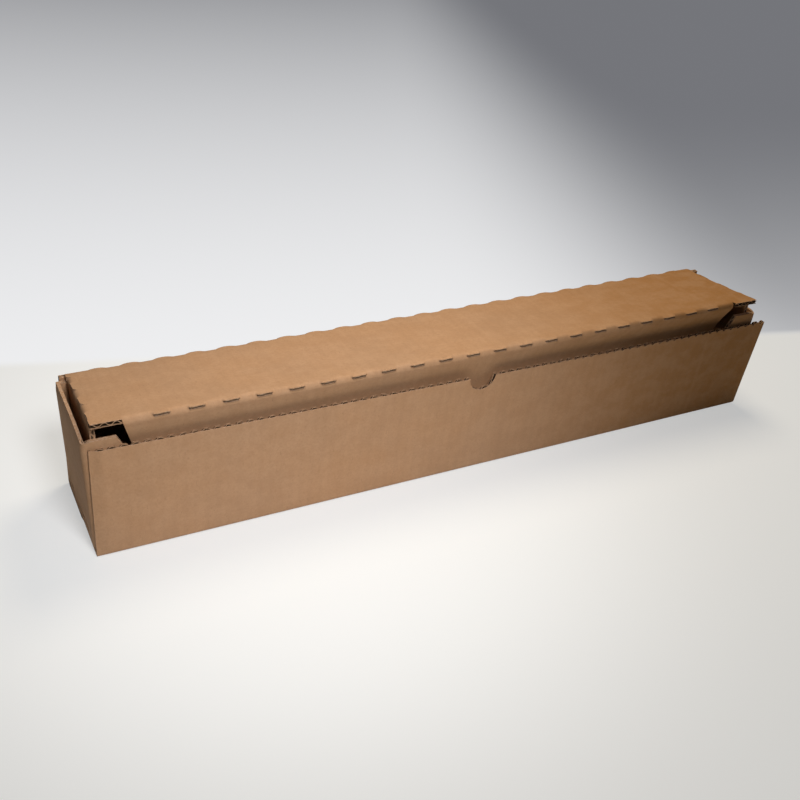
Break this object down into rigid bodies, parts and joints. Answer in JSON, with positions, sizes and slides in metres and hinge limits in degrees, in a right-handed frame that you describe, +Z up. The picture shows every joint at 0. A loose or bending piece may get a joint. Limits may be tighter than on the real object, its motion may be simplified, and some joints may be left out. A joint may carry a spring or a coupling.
{
  "type": "corrugated shipping box",
  "caption": "Long narrow corrugated mailing box folded from one sheet, with a hinged tuck lid standing slightly open and a thumb notch in the front wall.",
  "frame": {"origin": "middle of the outer box on the floor, under the tray", "axes": "+X along the box to the right as seen from the front, -Y towards the front wall with the thumb notch, +Z up"},
  "size_m": [0.5048, 0.0746, 0.0962],
  "materials": {
    "board": "matt brown kraft liner"
  },
  "bodies": {
    "tray": {"tray": "board"},
    "lid": {"lid": "board"}
  },
  "joints": [
    {"name": "lid_hinge", "type": "hinge", "parent": "tray", "child": "lid", "pos_m": [0, 0.03575, 0.0835], "axis": [-1, 0, 0], "range_deg": [-7, 165]}
  ]
}
